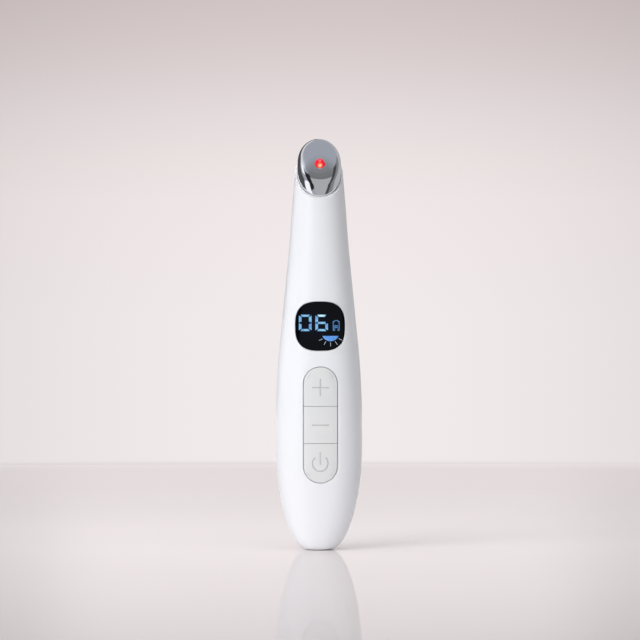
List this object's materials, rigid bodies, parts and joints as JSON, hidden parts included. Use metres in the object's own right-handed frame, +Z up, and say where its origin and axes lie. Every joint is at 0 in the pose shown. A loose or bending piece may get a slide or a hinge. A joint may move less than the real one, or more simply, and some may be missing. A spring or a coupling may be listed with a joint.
{
  "type": "red light facial device",
  "caption": "Hand-held red light facial wand with an oblique chrome head and lamp, a display window and three press keys, standing on its rounded end.",
  "frame": {"origin": "centre of the small flat foot at the lower end, which the wand stands on", "axes": "+Z up along the wand towards the head; the display, the keys and the treatment face look towards -Y; +X is to the right seen from the front"},
  "size_m": [0.0336, 0.0289, 0.1598],
  "materials": {
    "white_shell": "satin white moulded ABS",
    "chrome_head": "polished chrome plating",
    "key_plastic": "fine satin light grey",
    "red_lens": "clear red, glossy",
    "black_window": "glossy tinted acrylic",
    "display_light": "pale blue, diffusing",
    "circuit_board": "green solder mask",
    "black_plastic": "moulded black",
    "cream_plastic": "lamp package",
    "silicone": "grey silicone",
    "steel": "plain bright steel",
    "cell_case": "blue wrap",
    "foam": "closed cell foam",
    "red_wire": "red insulation",
    "black_wire": "black insulation"
  },
  "bodies": {
    "housing": {"front_shell": "white_shell", "rear_shell": "white_shell", "treatment_head": "chrome_head", "head_seal": "silicone", "light_lens": "red_lens", "led_emitter": "cream_plastic", "led_board": "circuit_board", "led_holder": "black_plastic", "led_lead_red": "red_wire", "led_lead_black": "black_wire", "display_window": "black_window", "display_mask": "display_light", "display_board": "circuit_board", "plus_switch": "black_plastic", "minus_switch": "black_plastic", "power_switch": "black_plastic", "main_board": "circuit_board", "control_chip": "black_plastic", "boost_coil": "steel", "board_screw_1": "steel", "board_screw_2": "steel", "board_screw_3": "steel", "board_screw_4": "steel", "battery_cell": "cell_case", "battery_top_tab": "steel", "battery_bottom_tab": "steel", "battery_pad": "foam", "battery_lead_red": "red_wire", "battery_lead_black": "black_wire", "usb_socket": "steel", "usb_tongue": "black_plastic", "charge_board": "circuit_board", "charge_screw_1": "steel", "charge_screw_2": "steel", "charge_lead_red": "red_wire", "charge_lead_black": "black_wire"},
    "plus_key": {"plus_button": "key_plastic", "plus_plunger": "silicone"},
    "minus_key": {"minus_button": "key_plastic", "minus_plunger": "silicone"},
    "power_key": {"power_button": "key_plastic", "power_plunger": "silicone"}
  },
  "joints": [
    {"name": "plus_press", "type": "slide", "parent": "housing", "child": "plus_key", "axis": [0, 1, 0], "range_m": [0, 0.00035], "stiffness_N_per_m": 800},
    {"name": "minus_press", "type": "slide", "parent": "housing", "child": "minus_key", "axis": [0, 1, 0], "range_m": [0, 0.00035], "stiffness_N_per_m": 800},
    {"name": "power_press", "type": "slide", "parent": "housing", "child": "power_key", "axis": [0, 1, 0], "range_m": [0, 0.00035], "stiffness_N_per_m": 800}
  ]
}
